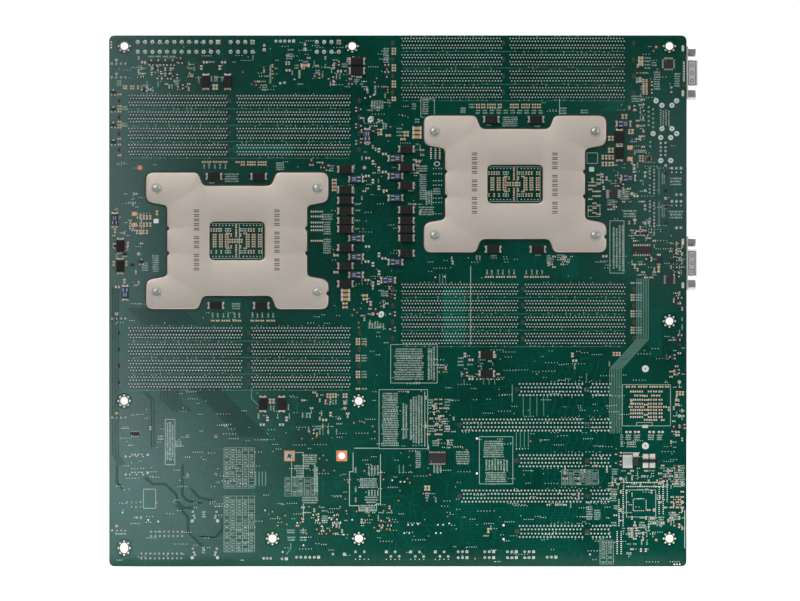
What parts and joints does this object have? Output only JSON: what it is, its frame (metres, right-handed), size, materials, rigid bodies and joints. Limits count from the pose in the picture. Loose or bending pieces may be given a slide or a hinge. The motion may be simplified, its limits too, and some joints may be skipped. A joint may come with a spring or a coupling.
{
  "type": "motherboard",
  "caption": "Server mainboard with processor back plates, hinged socket load plates, latched memory slots, expansion slots, power headers and rear connectors.",
  "frame": {"origin": "middle of the board on its solder face, in the plane of the case's standoff tips", "axes": "+X to the rear connectors, +Z to the top edge as the board stands in a tower case, +Y from the solder face to the component face"},
  "size_m": [0.3379, 0.034, 0.3048],
  "materials": {
    "solder_mask": "gloss",
    "plate_steel": "satin",
    "frame_steel": "satin",
    "screw_steel": "satin",
    "socket_plastic": "matte",
    "slot_plastic": "satin",
    "latch_plastic": "satin",
    "connector_metal": "satin",
    "power_plastic": "satin",
    "heatsink_aluminium": "satin",
    "solder_tin": "satin",
    "component_ceramic": "satin",
    "chip_epoxy": "matte",
    "legend_ink": "matte"
  },
  "bodies": {
    "board": {"pcb": "solder_mask", "back_plate_a": "plate_steel", "socket_frame_a": "frame_steel", "socket_housing_a": "socket_plastic", "back_plate_b": "plate_steel", "socket_frame_b": "frame_steel", "socket_housing_b": "socket_plastic", "memory_bank_a": "slot_plastic", "memory_bank_b": "slot_plastic", "memory_bank_c": "slot_plastic", "memory_bank_d": "slot_plastic", "card_slot_1": "slot_plastic", "card_slot_2": "slot_plastic", "card_slot_3": "slot_plastic", "card_slot_4": "slot_plastic", "card_slot_5": "slot_plastic", "com_port": "connector_metal", "vga_port": "connector_metal", "lan_usb_stack": "connector_metal", "usb_stack": "connector_metal", "lan_port_upper": "connector_metal", "lan_port_lower": "connector_metal", "main_power_connector": "power_plastic", "cpu_power_connector_a": "power_plastic", "cpu_power_connector_b": "power_plastic", "regulator_heatsink_a": "heatsink_aluminium", "regulator_heatsink_b": "heatsink_aluminium"},
    "rail_frame_a": {"rail_frame_a": "frame_steel"},
    "load_plate_a": {"load_plate_a": "frame_steel"},
    "load_screw_a_hinge_upper": {"load_screw_a_hinge_upper": "screw_steel"},
    "load_screw_a_hinge_lower": {"load_screw_a_hinge_lower": "screw_steel"},
    "load_screw_a_free_end": {"load_screw_a_free_end": "screw_steel"},
    "rail_frame_b": {"rail_frame_b": "frame_steel"},
    "load_plate_b": {"load_plate_b": "frame_steel"},
    "load_screw_b_hinge_upper": {"load_screw_b_hinge_upper": "screw_steel"},
    "load_screw_b_hinge_lower": {"load_screw_b_hinge_lower": "screw_steel"},
    "load_screw_b_free_end": {"load_screw_b_free_end": "screw_steel"},
    "memory_latch_a1": {"memory_latch_a1": "latch_plastic"},
    "memory_latch_a2": {"memory_latch_a2": "latch_plastic"},
    "memory_latch_a3": {"memory_latch_a3": "latch_plastic"},
    "memory_latch_a4": {"memory_latch_a4": "latch_plastic"},
    "memory_latch_b1": {"memory_latch_b1": "latch_plastic"},
    "memory_latch_b2": {"memory_latch_b2": "latch_plastic"},
    "memory_latch_b3": {"memory_latch_b3": "latch_plastic"},
    "memory_latch_b4": {"memory_latch_b4": "latch_plastic"},
    "memory_latch_c1": {"memory_latch_c1": "latch_plastic"},
    "memory_latch_c2": {"memory_latch_c2": "latch_plastic"},
    "memory_latch_c3": {"memory_latch_c3": "latch_plastic"},
    "memory_latch_c4": {"memory_latch_c4": "latch_plastic"},
    "memory_latch_d1": {"memory_latch_d1": "latch_plastic"},
    "memory_latch_d2": {"memory_latch_d2": "latch_plastic"},
    "memory_latch_d3": {"memory_latch_d3": "latch_plastic"},
    "memory_latch_d4": {"memory_latch_d4": "latch_plastic"},
    "card_clip_2": {"card_clip_2": "latch_plastic"},
    "card_clip_4": {"card_clip_4": "latch_plastic"},
    "com_port_jackscrew_lower": {"com_port_jackscrew_lower": "screw_steel"},
    "com_port_jackscrew_upper": {"com_port_jackscrew_upper": "screw_steel"},
    "vga_port_jackscrew_lower": {"vga_port_jackscrew_lower": "screw_steel"},
    "vga_port_jackscrew_upper": {"vga_port_jackscrew_upper": "screw_steel"},
    "drive_standoff_screw": {"drive_standoff_screw": "screw_steel"}
  },
  "joints": [
    {"name": "load_plate_a_hinge", "type": "hinge", "parent": "board", "child": "load_plate_a", "pos_m": [-0.1402, 0.0074, 0.0345], "axis": [0, 0, 1], "range_deg": [0, 100]},
    {"name": "rail_frame_a_hinge", "type": "hinge", "parent": "board", "child": "rail_frame_a", "pos_m": [-0.1362, 0.0058, 0.0345], "axis": [0, 0, 1], "range_deg": [0, 60]},
    {"name": "load_screw_a_hinge_upper_turn", "type": "hinge", "parent": "load_plate_a", "child": "load_screw_a_hinge_upper", "pos_m": [-0.1277, 0.0085, 0.0682], "axis": [0, 1, 0], "continuous": true},
    {"name": "load_screw_a_hinge_lower_turn", "type": "hinge", "parent": "load_plate_a", "child": "load_screw_a_hinge_lower", "pos_m": [-0.1277, 0.0085, 0.0008], "axis": [0, 1, 0], "continuous": true},
    {"name": "load_screw_a_free_end_turn", "type": "hinge", "parent": "load_plate_a", "child": "load_screw_a_free_end", "pos_m": [-0.04645, 0.0085, 0.0345], "axis": [0, 1, 0], "continuous": true},
    {"name": "load_plate_b_hinge", "type": "hinge", "parent": "board", "child": "load_plate_b", "pos_m": [0.01925, 0.0074, 0.0671], "axis": [0, 0, 1], "range_deg": [0, 100]},
    {"name": "rail_frame_b_hinge", "type": "hinge", "parent": "board", "child": "rail_frame_b", "pos_m": [0.02325, 0.0058, 0.0671], "axis": [0, 0, 1], "range_deg": [0, 60]},
    {"name": "load_screw_b_hinge_upper_turn", "type": "hinge", "parent": "load_plate_b", "child": "load_screw_b_hinge_upper", "pos_m": [0.03175, 0.0085, 0.1008], "axis": [0, 1, 0], "continuous": true},
    {"name": "load_screw_b_hinge_lower_turn", "type": "hinge", "parent": "load_plate_b", "child": "load_screw_b_hinge_lower", "pos_m": [0.03175, 0.0085, 0.0334], "axis": [0, 1, 0], "continuous": true},
    {"name": "load_screw_b_free_end_turn", "type": "hinge", "parent": "load_plate_b", "child": "load_screw_b_free_end", "pos_m": [0.113, 0.0085, 0.0671], "axis": [0, 1, 0], "continuous": true},
    {"name": "memory_latch_a1_hinge", "type": "hinge", "parent": "board", "child": "memory_latch_a1", "pos_m": [-0.021, 0.0085, 0.115], "axis": [0, 0, -1], "range_deg": [0, 35]},
    {"name": "memory_latch_a2_hinge", "type": "hinge", "parent": "board", "child": "memory_latch_a2", "pos_m": [-0.021, 0.0085, 0.10557], "axis": [0, 0, -1], "range_deg": [0, 35]},
    {"name": "memory_latch_a3_hinge", "type": "hinge", "parent": "board", "child": "memory_latch_a3", "pos_m": [-0.021, 0.0085, 0.09614], "axis": [0, 0, -1], "range_deg": [0, 35]},
    {"name": "memory_latch_a4_hinge", "type": "hinge", "parent": "board", "child": "memory_latch_a4", "pos_m": [-0.021, 0.0085, 0.08671], "axis": [0, 0, -1], "range_deg": [0, 35]},
    {"name": "memory_latch_b1_hinge", "type": "hinge", "parent": "board", "child": "memory_latch_b1", "pos_m": [0.1366, 0.0085, 0.1479], "axis": [0, 0, -1], "range_deg": [0, 35]},
    {"name": "memory_latch_b2_hinge", "type": "hinge", "parent": "board", "child": "memory_latch_b2", "pos_m": [0.1366, 0.0085, 0.13847], "axis": [0, 0, -1], "range_deg": [0, 35]},
    {"name": "memory_latch_b3_hinge", "type": "hinge", "parent": "board", "child": "memory_latch_b3", "pos_m": [0.1366, 0.0085, 0.12904], "axis": [0, 0, -1], "range_deg": [0, 35]},
    {"name": "memory_latch_b4_hinge", "type": "hinge", "parent": "board", "child": "memory_latch_b4", "pos_m": [0.1366, 0.0085, 0.11961], "axis": [0, 0, -1], "range_deg": [0, 35]},
    {"name": "memory_latch_c1_hinge", "type": "hinge", "parent": "board", "child": "memory_latch_c1", "pos_m": [0.1366, 0.0085, 0.00675], "axis": [0, 0, -1], "range_deg": [0, 35]},
    {"name": "memory_latch_c2_hinge", "type": "hinge", "parent": "board", "child": "memory_latch_c2", "pos_m": [0.1366, 0.0085, -0.00268], "axis": [0, 0, -1], "range_deg": [0, 35]},
    {"name": "memory_latch_c3_hinge", "type": "hinge", "parent": "board", "child": "memory_latch_c3", "pos_m": [0.1366, 0.0085, -0.01211], "axis": [0, 0, -1], "range_deg": [0, 35]},
    {"name": "memory_latch_c4_hinge", "type": "hinge", "parent": "board", "child": "memory_latch_c4", "pos_m": [0.1366, 0.0085, -0.02154], "axis": [0, 0, -1], "range_deg": [0, 35]},
    {"name": "memory_latch_d1_hinge", "type": "hinge", "parent": "board", "child": "memory_latch_d1", "pos_m": [-0.021, 0.0085, -0.0183], "axis": [0, 0, -1], "range_deg": [0, 35]},
    {"name": "memory_latch_d2_hinge", "type": "hinge", "parent": "board", "child": "memory_latch_d2", "pos_m": [-0.021, 0.0085, -0.02773], "axis": [0, 0, -1], "range_deg": [0, 35]},
    {"name": "memory_latch_d3_hinge", "type": "hinge", "parent": "board", "child": "memory_latch_d3", "pos_m": [-0.021, 0.0085, -0.03716], "axis": [0, 0, -1], "range_deg": [0, 35]},
    {"name": "memory_latch_d4_hinge", "type": "hinge", "parent": "board", "child": "memory_latch_d4", "pos_m": [-0.021, 0.0085, -0.04659], "axis": [0, 0, -1], "range_deg": [0, 35]},
    {"name": "card_clip_2_hinge", "type": "hinge", "parent": "board", "child": "card_clip_2", "pos_m": [0.0291, 0.0054, -0.0712], "axis": [0, 0, 1], "range_deg": [0, 20]},
    {"name": "card_clip_4_hinge", "type": "hinge", "parent": "board", "child": "card_clip_4", "pos_m": [0.0291, 0.0054, -0.112], "axis": [0, 0, 1], "range_deg": [0, 20]},
    {"name": "com_port_jackscrew_lower_turn", "type": "hinge", "parent": "board", "child": "com_port_jackscrew_lower", "pos_m": [0.169, 0.00815, 0.1185], "axis": [1, 0, 0], "continuous": true},
    {"name": "com_port_jackscrew_upper_turn", "type": "hinge", "parent": "board", "child": "com_port_jackscrew_upper", "pos_m": [0.169, 0.00815, 0.1435], "axis": [1, 0, 0], "continuous": true},
    {"name": "vga_port_jackscrew_lower_turn", "type": "hinge", "parent": "board", "child": "vga_port_jackscrew_lower", "pos_m": [0.169, 0.00815, 0.0092], "axis": [1, 0, 0], "continuous": true},
    {"name": "vga_port_jackscrew_upper_turn", "type": "hinge", "parent": "board", "child": "vga_port_jackscrew_upper", "pos_m": [0.169, 0.00815, 0.0342], "axis": [1, 0, 0], "continuous": true},
    {"name": "drive_standoff_screw_turn", "type": "hinge", "parent": "board", "child": "drive_standoff_screw", "pos_m": [-0.0622, 0, -0.0889], "axis": [0, 1, 0], "continuous": true}
  ],
  "couplings": [
    {"joint": "rail_frame_a_hinge", "follows": "load_plate_a_hinge", "ratio": 0.6},
    {"joint": "rail_frame_b_hinge", "follows": "load_plate_b_hinge", "ratio": 0.6}
  ]
}
